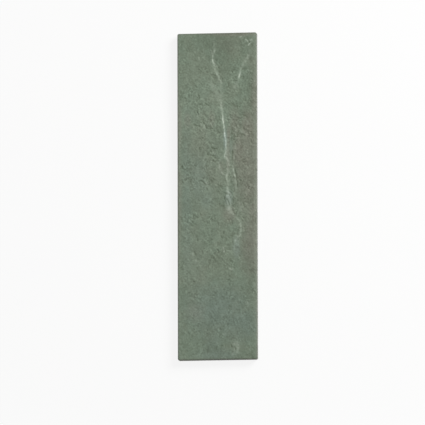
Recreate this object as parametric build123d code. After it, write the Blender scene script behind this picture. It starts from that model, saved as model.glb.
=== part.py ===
from build123d import *
import os
from math import atan, ceil, cos, degrees, exp, hypot, radians, sin, tau

# A slate-effect wall tile of the long brick format, pressed and fired as one piece.
# X runs across the tile, Y along it, and Z up from the bed to the riven face.
# The origin is the centre of the bed plane, which the tips of the keying ribs make.
# All sizes are millimetres and degrees.

# Format
TILE_WIDTH = 73.0
TILE_LENGTH = 300.0
TILE_THICKNESS = 8.5  # from the bed to the highest point of the face

# Pressed edges
CORNER_RADIUS = 1.6  # of the plan
ARRIS_RADIUS = 1.2  # of the soft shoulder all round the face
ARRIS_RISE = 0.1  # how far the shoulder's round would go on above the face's highest point
FLANK_HEIGHT = 3.0  # the drafted flank, below the upright land that meets the joint
FLANK_INSET = 0.6  # how far the flank draws in at the bed

# Keyed back, a lattice of ribs round shallow square pockets that grip the adhesive
POCKET_SIZE = 11.0
POCKET_DEPTH = 0.7
POCKET_CORNER = 1.4  # cut across each corner of a pocket
POCKET_DRAFT = 25.0
RIB_WIDTH = 2.5
BORDER_WIDTH = 3.4

# Riven face: long low waves, crossed by clefts where a flake of the stone has come away
WAVE_HEIGHT = 0.11
WAVE_LENGTH = 62.0
CLEFT_LIP = 3.0  # how wide the step at a cleft is
CLEFT_RUN = 11.0  # how slowly the face rises again beyond it
CLEFT_DROP = 0.55  # of the deepest cleft
RIM_BAND = 9.0  # the relief calms over this band, so that neighbouring tiles meet level
RIM_RELIEF = 0.35  # the share of it that is left at the rim
FACE_MARGIN = 5.0  # how far the face's surface runs past the plan before it is trimmed
SECTION_SPACING = 4.0  # between the curves that cross the tile
POINT_SPACING = 2.2  # between the points of each of them
GUIDE_SPACING = 28.0  # at most, between the curves along the tile that tie them together

# Each wave: its height and length as shares of the sizes above, its heading and its phase
WAVES = [
    (1.00, 1.90, 74, 20),
    (0.80, 1.00, 118, 140),
    (0.60, 0.62, 25, 250),
    (0.45, 0.43, 100, 75),
    (0.35, 0.31, 152, 310),
    (0.25, 0.24, 63, 190),
]

# Each cleft: points (x, y, share of the full drop) from its top end to its bottom end.
# The face stands high on the left of the line and drops to the right of it.
MAIN_CLEFT = [
    (-2.4, 147.0, 0.0),
    (-3.2, 136.0, 0.3),
    (-4.0, 128.0, 0.7),
    (0.7, 112.0, 0.8),
    (3.5, 104.0, 0.6),
    (3.9, 88.0, 0.6),
    (5.5, 74.0, 0.9),
    (7.0, 58.5, 1.0),
    (8.1, 43.0, 0.8),
    (6.6, 37.5, 0.6),
    (10.1, 29.0, 0.6),
    (8.8, 20.0, 0.6),
    (9.8, 6.0, 0.8),
    (12.4, -8.0, 0.8),
    (19.8, -20.7, 0.7),
    (22.4, -26.0, 0.6),
    (21.7, -34.7, 0.5),
    (16.0, -39.5, 0.0),
]
INNER_CLEFT = [
    (17.4, 63.0, 0.0),
    (15.2, 54.0, 0.3),
    (13.6, 45.5, 0.4),
    (14.9, 30.0, 0.5),
    (17.4, 13.0, 0.5),
    (16.6, 2.0, 0.3),
    (16.0, -5.0, 0.0),
]
UPPER_CLEFT = [
    (28.8, 131.0, 0.0),
    (26.6, 126.0, 0.3),
    (22.6, 117.0, 0.6),
    (20.4, 109.0, 0.6),
    (17.5, 101.0, 0.0),
]
LEFT_CLEFT = [
    (-18.5, 95.5, 0.0),
    (-14.5, 91.0, 0.3),
    (-10.0, 87.0, 0.3),
    (-7.0, 83.0, 0.0),
]
MIDDLE_CLEFT = [
    (-15.0, 74.0, 0.0),
    (-12.6, 68.0, 0.3),
    (-8.5, 56.0, 0.25),
    (-2.5, 45.0, 0.3),
    (0.5, 38.0, 0.0),
]
LOWER_CLEFT = [
    (-14.0, 45.0, 0.0),
    (-10.4, 39.5, 0.3),
    (-13.0, 27.0, 0.2),
    (-10.5, 14.0, 0.3),
    (-6.0, 6.0, 0.0),
]
CLEFTS = [MAIN_CLEFT, INNER_CLEFT, UPPER_CLEFT, LEFT_CLEFT, MIDDLE_CLEFT, LOWER_CLEFT]


def smooth_step(share):
    """Rises smoothly from 0 to 1 as the share does, and stays level outside that."""
    share = min(max(share, 0.0), 1.0)
    return share * share * (3 - 2 * share)


def wave_height(x, y):
    """The sum of the long waves at a point of the face."""
    total = 0.0
    for height_share, length_share, heading, phase in WAVES:
        along = x * cos(radians(heading)) + y * sin(radians(heading))
        turn = tau * along / (length_share * WAVE_LENGTH) + radians(phase)
        total += height_share * WAVE_HEIGHT * sin(turn)
    return total


def nearest_on_cleft(x, y, cleft):
    """The signed distance to a cleft's line, positive on its low side, and its drop there."""
    nearest = None
    for (x1, y1, drop1), (x2, y2, drop2) in zip(cleft, cleft[1:]):
        run_x, run_y = x2 - x1, y2 - y1
        length = hypot(run_x, run_y)
        share = ((x - x1) * run_x + (y - y1) * run_y) / length**2
        share = min(max(share, 0.0), 1.0)
        away_x, away_y = x - x1 - share * run_x, y - y1 - share * run_y
        distance = hypot(away_x, away_y)
        if nearest is None or distance < nearest[0]:
            low_side = away_y * run_x - away_x * run_y > 0
            nearest = (distance, low_side, drop1 + share * (drop2 - drop1))
    distance, low_side, drop = nearest
    return (distance if low_side else -distance), drop


def cleft_height(x, y, cleft):
    """How far a cleft lowers the face at a point: a sharp step, then a slow rise beyond it."""
    distance, drop = nearest_on_cleft(x, y, cleft)
    step = smooth_step(distance / CLEFT_LIP + 0.5)
    return -CLEFT_DROP * drop * step * exp(-max(distance, 0.0) / CLEFT_RUN)


def rim_calm(x, y):
    """The share of the relief at a point: all of it in the field, less towards the rim."""
    to_rim = min(TILE_WIDTH / 2 - abs(x), TILE_LENGTH / 2 - abs(y))
    return RIM_RELIEF + (1 - RIM_RELIEF) * smooth_step(to_rim / RIM_BAND)


def face_height(x, y):
    """The riven face's relief at a point, before its highest point is set to the thickness."""
    relief = wave_height(x, y) + sum(cleft_height(x, y, cleft) for cleft in CLEFTS)
    return relief * rim_calm(x, y)


def places_over(span, count):
    """Places from one end of a centred span to the other, in so many equal steps."""
    return [span * (step / count - 0.5) for step in range(count + 1)]


def make_riven_surface():
    """One smooth surface over the whole plan, with its highest point at the thickness.

    It is a net of curves: close sections across the tile, and a few guides along it that
    pass through their points.
    """
    span_across = TILE_WIDTH + 2 * FACE_MARGIN
    span_along = TILE_LENGTH + 2 * FACE_MARGIN
    bays = ceil(span_across / GUIDE_SPACING)
    points_per_bay = ceil(span_across / bays / POINT_SPACING)
    across = places_over(span_across, bays * points_per_bay)
    along = places_over(span_along, ceil(span_along / SECTION_SPACING))
    relief = {(x, y): face_height(x, y) for x in across for y in along}
    highest = max(
        height
        for (x, y), height in relief.items()
        if abs(x) <= TILE_WIDTH / 2 and abs(y) <= TILE_LENGTH / 2
    )
    lift = TILE_THICKNESS - highest
    sections = [Edge.make_spline([Vector(x, y, relief[x, y] + lift) for x in across]) for y in along]
    guide_places = across[::points_per_bay]
    guides = [
        Edge.make_spline([Vector(x, y, relief[x, y] + lift) for y in along]) for x in guide_places
    ]
    return Face.make_gordon_surface(sections, guides)


def make_plan():
    """The tile's plan, at the height where the flank ends and the land begins."""
    return Pos(0, 0, FLANK_HEIGHT) * RectangleRounded(TILE_WIDTH, TILE_LENGTH, CORNER_RADIUS)


def pocket_row(span):
    """How many pockets fit along a side of the bed, and how long each is to fill it evenly."""
    filled = span - 2 * BORDER_WIDTH + RIB_WIDTH
    count = max(round(filled / (POCKET_SIZE + RIB_WIDTH)), 1)
    return count, filled / count - RIB_WIDTH


def make_pockets():
    """The keying pockets, each narrowing from its mouth at the bed to its floor."""
    count_across, size_across = pocket_row(TILE_WIDTH - 2 * FLANK_INSET)
    count_along, size_along = pocket_row(TILE_LENGTH - 2 * FLANK_INSET)
    square = Rectangle(size_across, size_along)
    mouth = chamfer(square.vertices(), POCKET_CORNER)
    pocket = extrude(mouth, POCKET_DEPTH, taper=POCKET_DRAFT)
    pitch_across, pitch_along = size_across + RIB_WIDTH, size_along + RIB_WIDTH
    return [
        place * pocket
        for place in GridLocations(pitch_across, pitch_along, count_across, count_along)
    ]


def make_flank():
    """The lower part: it draws in towards the bed, where the pockets are pressed into it."""
    draft = degrees(atan(FLANK_INSET / FLANK_HEIGHT))
    return extrude(make_plan(), -FLANK_HEIGHT, taper=draft) - make_pockets()


def make_land():
    """The upper part: upright sides with a soft shoulder, cut off by the riven face."""
    block = extrude(make_plan(), TILE_THICKNESS + ARRIS_RISE - FLANK_HEIGHT)
    shoulder = block.faces().sort_by(Axis.Z)[-1].edges()
    above_face = Solid.extrude(make_riven_surface(), Vector(0, 0, TILE_THICKNESS))
    return fillet(shoulder, ARRIS_RADIUS) - above_face


tile = make_land() + make_flank()
tile.label = "tile"

os.makedirs("parts", exist_ok=True)
export_step(tile, "parts/tile.step")
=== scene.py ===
from math import ceil, cos, pi, radians, sin, tan

import bpy
import numpy as np
from mathutils import Matrix, Vector
from mathutils.geometry import tessellate_polygon


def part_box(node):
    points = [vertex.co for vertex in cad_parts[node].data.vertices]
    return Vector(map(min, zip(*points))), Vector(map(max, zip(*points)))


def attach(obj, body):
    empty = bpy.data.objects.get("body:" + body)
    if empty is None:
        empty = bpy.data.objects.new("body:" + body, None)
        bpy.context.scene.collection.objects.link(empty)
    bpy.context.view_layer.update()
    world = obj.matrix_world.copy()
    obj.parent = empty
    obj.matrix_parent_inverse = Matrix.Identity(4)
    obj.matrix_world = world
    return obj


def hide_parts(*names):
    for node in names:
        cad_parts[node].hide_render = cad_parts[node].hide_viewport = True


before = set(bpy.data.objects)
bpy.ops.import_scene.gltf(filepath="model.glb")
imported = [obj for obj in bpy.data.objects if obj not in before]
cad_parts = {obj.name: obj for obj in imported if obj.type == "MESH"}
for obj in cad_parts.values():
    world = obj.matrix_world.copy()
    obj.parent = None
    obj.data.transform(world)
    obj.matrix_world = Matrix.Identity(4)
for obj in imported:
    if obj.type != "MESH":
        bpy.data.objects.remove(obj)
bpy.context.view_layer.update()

# A slate-effect wall tile lying on its back, its riven face up.
# X runs across the tile, Y along it and Z up. The sizes below are in millimetres, and angles
# in degrees. Blender's own units are metres.
MM = 0.001
box_low, box_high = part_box("tile")
TILE_WIDTH = (box_high.x - box_low.x) / MM
TILE_LENGTH = (box_high.y - box_low.y) / MM
TILE_THICKNESS = (box_high.z - box_low.z) / MM

# Pressed edges, as the solid has them
CORNER_RADIUS = 1.6
ARRIS_RADIUS = 1.2
ARRIS_RISE = 0.1
ARRIS_BLEND = 0.12  # how softly the face runs over into the shoulder
FLANK_HEIGHT = 3.0
FLANK_INSET = 0.6
EDGE_WANDER = 0.05  # how far the pressed sides wander inwards
EDGE_WANDER_SIZE = 2.0
LAND_START = 0.1  # how far below the shoulder's round the upright land's first row lies

# Keyed back
POCKET_SIZE = 11.0
POCKET_DEPTH = 0.7
POCKET_CORNER = 1.4
POCKET_DRAFT = 25.0
POCKET_LIP = 0.12  # the softened edge of each rib
RIB_WIDTH = 2.5
BORDER_WIDTH = 3.4

# Riven face, with its waves as the solid has them: share of the height, share of the length,
# heading and phase
WAVE_HEIGHT = 0.11
WAVE_LENGTH = 62.0
CLEFT_RUN = 11.0  # how slowly the face rises again beyond a cleft
CLEFT_DROP = 0.55
RIM_BAND = 9.0  # the relief calms over this band
RIM_RELIEF = 0.35
WAVES = [
    (1.00, 1.90, 74, 20),
    (0.80, 1.00, 118, 140),
    (0.60, 0.62, 25, 250),
    (0.45, 0.43, 100, 75),
    (0.35, 0.31, 152, 310),
    (0.25, 0.24, 63, 190),
]

# Each cleft: points (x, y, share of the full drop, how pale the glaze has worn, width of the lip)
CLEFTS = {
    "main": [
        (-2.2, 148.2, 0, 0.06, 2.5),
        (-1.9, 136.2, 0.3, 0.08, 2.5),
        (-2.7, 133.2, 0.35, 0.62, 1.8),
        (-3.9, 129.2, 0.5, 0.48, 1.8),
        (-3.9, 127, 0.6, 0.5, 1.2),
        (-3.6, 125, 0.7, 1.55, 0.9),
        (-3, 123.1, 0.7, 0.8, 1.2),
        (-2.7, 120.8, 0.8, 0.3, 2),
        (-2, 117, 0.8, 0.24, 2.2),
        (-0.9, 114, 0.8, 0.24, 2),
        (0.6, 111.5, 0.8, 0.36, 2.2),
        (1.9, 107.5, 0.6, 0.36, 2.8),
        (4.4, 103.8, 0.4, 0.3, 2.8),
        (3.4, 97.2, 0.25, 0.02, 5.5),
        (2.9, 91.2, 0.35, 0.18, 3.5),
        (3.8, 85.2, 0.6, 0.38, 2.4),
        (4.1, 81.2, 0.8, 0.48, 2),
        (4.8, 75.8, 0.8, 0.22, 1.6),
        (5.2, 72.2, 0.9, 0.7, 1.1),
        (5.7, 68.2, 0.9, 1.6, 1),
        (6.1, 65.5, 0.9, 0, 1),
        (6.3, 63.2, 0.9, 0.9, 0.9),
        (6.7, 60.4, 0.9, 0.1, 1.2),
        (6.9, 57.2, 1, 1.75, 0.9),
        (7.2, 53.8, 0.9, 0.56, 1),
        (7.8, 49.2, 0.9, 0.66, 1.1),
        (8, 46.8, 0.8, 0.75, 1.2),
        (8.2, 43.2, 0.7, 0, 1.6),
        (7.6, 40, 0.6, 0.8, 1.2),
        (6.7, 36.8, 0.6, 0.75, 1.2),
        (8.6, 34.5, 0.5, 0.78, 1.8),
        (9.9, 32.9, 0.5, 0.18, 2.2),
        (10.3, 28.2, 0.6, 0.16, 2.6),
        (9.8, 24.2, 0.6, 0.1, 2.8),
        (8.7, 19.2, 0.6, 0.48, 2.2),
        (8.7, 15.8, 0.6, 0.3, 2),
        (9.4, 12.8, 0.7, 0.28, 2.5),
        (10.1, 8.8, 0.7, 0.4, 2.5),
        (9.4, 5.2, 0.7, 0.4, 2.4),
        (10.4, 1.8, 0.6, 0.36, 2),
        (10.1, -1.1, 0.5, 0.22, 2.4),
        (12.5, -6.8, 0.6, 0.05, 3),
        (11.6, -11.8, 0.5, 0.2, 3),
        (14.4, -15.8, 0.6, 0.18, 2),
        (16.6, -19.3, 0.6, 0.1, 2.4),
        (19.6, -21.8, 0.6, 0.4, 2),
        (21.5, -24.4, 0.6, 0.26, 2.2),
        (21.7, -27.3, 0.6, 0.5, 1.8),
        (21.4, -30.9, 0.5, 0.65, 1.8),
        (21.5, -33.2, 0.5, 0.24, 2),
        (21.3, -35.1, 0.4, 0.58, 1.4),
        (20.1, -37.8, 0.2, 0.15, 2.5),
        (15.8, -40.2, 0, 0, 2.5),
    ],
    "inner": [
        (17.1, 62.4, 0, 0, 3),
        (15.7, 54.2, 0.3, 0, 3),
        (13.4, 45.2, 0.4, 0.05, 2.4),
        (14.4, 37.2, 0.5, 0, 2.4),
        (14.4, 26.4, 0.5, 0.22, 1.2),
        (14.8, 22.8, 0.5, 0.92, 0.9),
        (15.6, 19.1, 0.5, 1, 0.9),
        (16.2, 17.1, 0.5, 0.1, 1.4),
        (17.1, 11.2, 0.5, 0.18, 1.8),
        (17.5, 7.5, 0.5, 0.25, 1.8),
        (16.4, 1.8, 0.3, 0.15, 2.4),
        (16, -4.2, 0, 0, 3),
    ],
    "upper": [
        (28.3, 129.6, 0, 0, 3),
        (27, 126.8, 0.3, 0.04, 3),
        (24.6, 121.8, 0.4, 0.12, 2.4),
        (22.4, 118.2, 0.6, 0.14, 2.2),
        (21.9, 115.2, 0.6, 0.16, 1.6),
        (21.1, 112.8, 0.6, 0.6, 1.2),
        (20.5, 110.5, 0.6, 1.3, 1.1),
        (19.9, 107.8, 0.5, 0.3, 1.6),
        (17.2, 100.2, 0, 0.1, 3),
    ],
    "left": [
        (-18.5, 94.8, 0, 0, 2.4),
        (-14.5, 90.2, 0.3, 0, 2.4),
        (-10, 86.2, 0.3, 0, 2.4),
        (-7.1, 82.2, 0, 0, 2.4),
    ],
    "middle": [
        (-15, 73.2, 0, 0, 3),
        (-12.6, 67.2, 0.3, 0, 2.4),
        (-8.6, 55.2, 0.25, 0, 3),
        (-2.6, 44.2, 0.3, 0, 2.4),
        (0.4, 37.2, 0, 0, 3),
    ],
    "lower": [
        (-14, 44.2, 0, 0, 3),
        (-10.4, 38.8, 0.3, 0, 2.4),
        (-13, 26.2, 0.2, 0, 3.5),
        (-10.5, 13.2, 0.3, 0, 2.8),
        (-6.1, 5.2, 0, 0, 3),
    ],
}

# Short hackle cracks in the riven face: (depth, half width, points from end to end)
CRACKS = [
    (0.13, 0.6, (13.7, 41.7), (14, 36.9), (13.9, 28.9)),
    (0.12, 0.5, (14.4, 23.3), (14.6, 19.3), (15.3, 16.9)),
    (0.06, 0.5, (12.9, 59.4), (13.1, 52.9), (13.3, 47.9)),
    (0.12, 0.6, (6.9, 3.1), (8.9, 1.9), (11.1, 0.5)),
    (0.15, 0.55, (8.7, -2.6), (10.6, -5.1), (11.6, -8.4)),
    (0.09, 0.6, (7.5, -3.8), (8.2, -6.7), (9.1, -9.6)),
    (0.08, 0.5, (6.9, 16.1), (8.1, 11.9)),
    (0.19, 0.62, (-17.2, 93.6), (-16.5, 92.1), (-15.7, 90.4)),
    (0.15, 0.6, (-10.9, 85.6), (-9.3, 84.1), (-7.4, 83.4)),
    (0.14, 0.68, (-13.2, 69.1), (-12.6, 68.1), (-11.9, 66.7)),
    (0.09, 0.62, (-11.3, 65.7), (-10.1, 63.9), (-9.4, 62.3)),
    (0.11, 0.58, (-21.5, 66.1), (-18.9, 65.3), (-15.9, 64.9)),
    (0.07, 0.6, (-19.6, 70.5), (-17.1, 70)),
    (0.08, 0.7, (-0.7, 69.7), (1, 68.5)),
    (0.09, 0.7, (2, 69.9), (3.9, 68.7)),
    (0.06, 0.6, (-0.8, 66.5), (0.6, 65.1)),
    (0.08, 0.7, (2.8, 63.1), (3.7, 60.9)),
    (0.04, 0.8, (0.2, 60.4), (2, 57.7)),
    (0.11, 0.6, (-16.3, 44.4), (-15.9, 42.5)),
    (0.11, 0.6, (-5.1, 44.7), (-2.7, 43.7), (0.1, 43.4)),
    (0.08, 0.55, (-6.8, 41.3), (-5, 40.7)),
    (0.15, 0.7, (-9.3, 38.8), (-7.6, 37.6)),
    (0.05, 0.8, (0.3, 41.3), (1.8, 40.1), (3.9, 40.1)),
    (0.06, 0.7, (-13, 40.9), (-12.8, 36.9)),
    (0.1, 0.6, (-13.7, 17.1), (-12.5, 15.9)),
    (0.12, 0.65, (-14.7, 14.3), (-13.1, 13.1), (-11.7, 11.5)),
    (0.1, 0.6, (-9.3, 16.9), (-8.6, 15.7)),
    (0.1, 0.6, (-9.9, 8.3), (-9.5, 6.5)),
    (0.08, 0.6, (-15.3, 8.9), (-15.3, 6.4)),
    (0.09, 0.65, (-3.6, 16.7), (-2.2, 14.9)),
    (0.09, 0.65, (1, 9.8), (2.8, 8.7), (4.9, 6.3)),
    (0.08, 0.6, (-0.4, 3.9), (1.8, 3.9)),
    (0.09, 0.6, (-17, -2.9), (-16, -4.1)),
    (0.08, 0.6, (-20.4, -4.9), (-20, -6.9)),
    (0.08, 0.6, (-30.5, 90.7), (-29.4, 90.1)),
    (0.07, 0.6, (-25.4, 21.9), (-24.4, 21.1)),
    (0.1, 0.6, (-15.9, -15.3), (-15.3, -17.1)),
    (0.1, 0.6, (-19.7, -19.1), (-17.5, -19.4)),
    (0.08, 0.6, (-23, -22.5), (-22.4, -23.7)),
    (0.09, 0.6, (-21.1, -25), (-18.7, -25.4)),
    (0.09, 0.6, (-10.5, -25.9), (-9.7, -26.9)),
    (0.09, 0.6, (-5.2, -31.3), (-5, -33.1)),
    (0.07, 0.6, (-14.7, -32.1), (-11.9, -34.1)),
    (0.08, 0.6, (-18.3, -38.6), (-18.3, -40.6)),
    (0.09, 0.6, (-21.6, -50.5), (-20.5, -52.7), (-19.7, -53.9)),
    (0.07, 0.6, (-12.9, -48.1), (-11.9, -48.3)),
    (0.08, 0.6, (-18.7, -57.3), (-16.7, -57.7)),
    (0.08, 0.6, (-4, -55.9), (-2.2, -59.1)),
    (0.15, 0.6, (28.8, 142), (29.8, 140.9)),
    (0.08, 0.7, (31.5, 139.5), (32.5, 137.5)),
    (0.05, 0.6, (13.3, 115.1), (13.7, 113.9)),
    (0.08, 0.6, (1.2, 118.7), (2.4, 117.3)),
    (0.09, 0.6, (31.9, 107.7), (33.1, 105.9)),
    (0.08, 0.6, (15.1, 105.9), (18.2, 105.5)),
    (0.08, 0.6, (20, 102.9), (20.2, 100.9)),
    (0.09, 0.6, (9.7, 104.9), (9.9, 102.9)),
    (0.08, 0.6, (-3.4, 104.7), (-1.8, 103.1)),
    (0.1, 0.6, (-20.1, 102.1), (-19.1, 100.9)),
    (0.06, 0.6, (12.7, 85.7), (15.1, 84.3)),
    (0.08, 0.6, (18.6, 82.3), (19.2, 80.5)),
    (0.1, 0.6, (29.1, 82.9), (30.5, 81.9)),
    (0.09, 0.6, (1.2, 96.9), (2, 95.3)),
    (0.07, 0.8, (23.6, 74.5), (28.2, 71.3)),
    (0.09, 0.6, (13.5, 60.9), (14.5, 59.3)),
    (0.09, 0.6, (24.4, 63.3), (24.8, 61.1)),
    (0.09, 0.7, (26.6, 61.1), (28.5, 57.9)),
    (0.09, 0.6, (21.8, 57.5), (25.2, 55.3)),
    (0.09, 0.6, (31.1, 50.9), (31.5, 48.9)),
    (0.08, 0.6, (12.9, 47.5), (13.5, 46.3)),
    (0.05, 0.6, (16.2, 35.5), (16.6, 33.5)),
    (0.09, 0.6, (14.1, 32.9), (14.3, 31.3)),
    (0.06, 0.5, (16.6, 25.6), (20.2, 25.4)),
    (0.11, 0.6, (15.9, 24.5), (17, 20.9), (17.9, 15.9), (18.3, 11.4), (18.5, 8.3)),
    (0.14, 0.6, (6.3, -0.7), (6.5, -2.9)),
    (0.09, 0.6, (5.9, -8.5), (5.7, -9.7)),
    (0.1, 0.6, (14.3, -3.5), (14.5, -6.1)),
    (0.08, 0.6, (18.6, -3.5), (19.6, -4.5)),
    (0.08, 0.6, (23.4, -6.5), (24.6, -9.5)),
    (0.08, 0.6, (30.9, -4.5), (31.3, -6.5)),
    (0.08, 0.6, (13.9, -23.1), (13.9, -26.1)),
    (0.11, 0.6, (5.3, -32.9), (5.9, -34.9)),
    (0.08, 0.6, (3.2, -36.7), (4.7, -38.5)),
    (0.08, 0.6, (10.3, -38.1), (11.7, -39.7)),
    (0.07, 0.6, (6.7, -47.5), (8.9, -49.1), (11.7, -49.3)),
    (0.06, 0.6, (17, -47.7), (19, -48.1)),
    (0.07, 0.6, (10.9, -58.1), (12.1, -59.9)),
    (0.08, 0.6, (12.7, -68.5), (13.1, -69.7)),
    (0.08, 0.6, (8.7, -76.7), (10.1, -77.1)),
    (0.07, 0.6, (11.7, -78.3), (13.7, -78.5)),
    (0.08, 0.6, (21.4, -82.9), (22.6, -84.5)),
    (0.08, 0.6, (15.3, -92.5), (16.6, -92.9)),
    (0.08, 0.6, (23.8, -92.1), (24.2, -95.1)),
    (0.08, 0.6, (10.7, -100.7), (11.7, -102.1)),
    (0.12, 0.6, (3.9, -136.8), (4.7, -137.6)),
    (0.13, 0.6, (13.1, -136.6), (13.9, -138.6)),
    (0.12, 0.7, (15.9, -139.6), (16.6, -141.6)),
    (0.08, 0.6, (-0.8, -138.1), (-1, -140)),
    (0.09, 0.6, (14.1, -143), (14.5, -144.6)),
]

# Pale strokes where the glaze has worn or run thin: (amount, half width, points)
PALE_STROKES = [
    (0.18, 0.8, (-2.4, 145.5), (-2.4, 137.5)),
    (0.22, 0.9, (-2.5, 135.5), (-2.8, 130)),
    (0.3, 0.9, (-5.4, 134), (-4.6, 130.5)),
    (0.3, 0.6, (-5.8, 123.5), (-6, 121.3)),
    (0.55, 0.6, (-2.3, 122.4), (-0.6, 120.6), (0, 118.8)),
    (0.15, 1.5, (-3, 121.5), (-1.2, 116.5), (1.6, 109.5)),
    (0.3, 0.9, (-16.5, 128.3), (-16.3, 126.3)),
    (1, 0.5, (21.5, 146.1), (24, 145.9)),
    (0.95, 0.6, (26.8, 143.5), (28.4, 141.8)),
    (0.7, 0.9, (30.4, 142.7), (32.1, 142.9)),
    (1, 0.6, (28.9, 138.4), (29.7, 139.3), (30.9, 140.3)),
    (0.3, 1.3, (29.1, 129), (26.4, 123.5), (24.5, 120), (23.1, 117.8)),
    (0.13, 1.6, (3.5, 102.9), (3.2, 92.9)),
    (0.2, 2.4, (2.6, 94.5), (2.9, 89)),
    (0.2, 2, (-7.1, 106.7), (-3.5, 99.6), (0.3, 93.2), (2.5, 87.9)),
    (0.52, 1.7, (7.4, 37.4), (9.6, 33.9)),
    (0.52, 0.9, (2, 33.4), (2.1, 29.4), (2.2, 26.4), (3.1, 23.1), (4.7, 20.5), (6.7, 19.3)),
    (0.48, 1.2, (10.3, 33), (10.6, 28.8)),
    (0.34, 1.2, (10.5, 27.4), (10.1, 21.4)),
    (0.38, 1.7, (8.4, 42.5), (8.4, 37.6)),
    (0.4, 1.3, (9.5, 11.9), (9.9, 3.4)),
    (0.58, 0.9, (9.1, 4.1), (10.6, 2.3), (12.2, 0.7)),
    (0.66, 0.8, (8.5, 0.5), (9.9, -1), (11.7, -2.4)),
    (0.34, 0.66, (11.5, -2.8), (12.7, -5.4), (13, -7.9)),
    (0.36, 0.6, (8.9, -4.2), (9.7, -6.2), (10.8, -9)),
    (0.4, 0.6, (7.5, 17.7), (9.1, 12.9)),
    (0.35, 0.6, (11.3, 15.3), (10.3, 12.5)),
    (0.28, 0.6, (15.5, 36.7), (15.1, 28.7)),
    (0.25, 0.55, (16.2, 15.3), (17.2, 9.9), (17.8, 6.5)),
    (0.22, 0.6, (16.3, 5.4), (16.5, -0.6)),
    (0.24, 0.8, (8.3, -7), (9.7, -9.5)),
    (0.55, 1.8, (10.4, -11), (11.2, -14.2)),
    (0.6, 0.6, (14, -14.7), (14.7, -16.5)),
    (0.3, 1.2, (20.6, -13.5), (22.1, -11)),
    (0.26, 1.1, (20.8, -6), (21.9, -9.4)),
    (0.2, 1, (23.5, -13.8), (24.5, -16.8)),
    (0.6, 0.9, (15.5, -39.5), (17, -41.5)),
    (0.52, 0.9, (18.2, -36.4), (19.2, -38.1)),
    (0.75, 0.75, (5.3, -47.5), (6.5, -51.1)),
    (0.25, 0.7, (9.3, -50.7), (12.3, -50.5)),
    (0.55, 0.7, (17, 63.3), (17.2, 59.9)),
    (0.45, 0.9, (16.4, 45.9), (16.6, 43.3)),
    (0.3, 0.7, (27.9, 41.9), (28.2, 38.9)),
    (0.25, 0.8, (32.9, 43.9), (33.7, 39.4)),
    (0.35, 0.7, (27.8, 68.9), (28.2, 66.9)),
    (0.32, 0.8, (22.2, 59.4), (24.6, 57.5), (27.1, 56.3)),
    (0.7, 0.9, (11.5, -66.3), (12.9, -67.3)),
    (0.5, 0.6, (27.6, -98.1), (27.7, -99.3)),
    (0.55, 0.7, (-20.5, -58.7), (-17.3, -59.1)),
    (0.4, 0.7, (-23, -52.1), (-22, -54.1)),
    (0.34, 0.8, (-14.8, 66.7), (-13.9, 65.7)),
    (0.3, 0.7, (-12.4, 65.1), (-11.7, 63.7)),
    (0.24, 0.8, (-18.4, 73.7), (-17.7, 72.1)),
    (0.2, 0.8, (-15.7, 76.1), (-14.7, 74.9)),
    (0.45, 0.7, (-10.5, 12.3), (-9.7, 11.3)),
    (0.35, 0.6, (-9.7, 9.1), (-8.9, 8.5)),
    (0.35, 0.7, (-4.2, 41.5), (-2.6, 40.1), (-1.6, 38.1)),
    (0.3, 0.7, (-30.2, 18.9), (-29.6, 17.9)),
    (0.3, 0.6, (29.5, 9.1), (32.5, 8.9)),
    (0.34, 1, (14.1, -145.6), (15.3, -142.1)),
    (0.34, 1.2, (15.1, -135.9), (17.5, -135.1), (18.8, -138.7), (18.1, -143.1)),
    (0.2, 1.2, (29.5, -141.1), (30.5, -139.1)),
    (0.25, 1, (5.5, -127), (7.1, -126.2)),
]

# Where the small relief is rougher or calmer: (x, y, half width, half length, share more or less)
ROUGH_PATCHES = [
    (-12, 88, 9, 14, 0.22),
    (-8, 66, 12, 9, 0.22),
    (-6, 43, 10, 8, 0.22),
    (-11, 13, 7, 9, 0.32),
    (18, 66, 10, 12, 0.35),
    (19, 106, 12, 12, 0.15),
    (3, 50, 3, 4, -0.6),
    (0, 88, 7, 7, -0.4),
    (-20, -8, 12, 9, -0.3),
    (0, -8, 6, 10, -0.35),
    (12, 132, 9, 12, -0.35),
    (0, -66, 12, 9, -0.3),
    (28, -50, 8, 14, -0.25),
    (-6, 74, 14, 36, 0.24),
    (22, 58, 12, 34, 0.38),
    (25, -8, 9, 36, 0.16),
]

# How the lines of clefts, cracks and strokes wander: how far, and over what size
WARP = 0.22
WARP_SIZE = 2.6

# Worn glaze along the lips of the clefts
LIP_WHOLE = 0.85  # how whole the worn line is
LIP_BREAKS = [(0.22, 1.4), (0.12, 4.0)]  # what breaks it up: how much, and over what size
CREST_WIDTH = 0.34
CREST_PER_LIP = 0.26  # what each millimetre of the lip adds to the crest's width
HALO_SHARE = 0.14  # the faint wear further out
HALO_WIDTH = 2.2

# Kinds of small relief in the split stone: size across, length along the heading, and heading
LEDGES = (5.0, 9.0, -50)
CLUSTERS = (4.2, 4.2, 0)
STROKES = (0.95, 2.6, -48)
LUMPS = (2.6, 2.6, 0)
GRAIN = (0.90, 0.90, 0)
PITS = (1.1, 1.9, -45)
RIDGES = (2.4, 6.5, -52)
RIDGE_GROUPS = (4.5, 4.5, 0)

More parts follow.
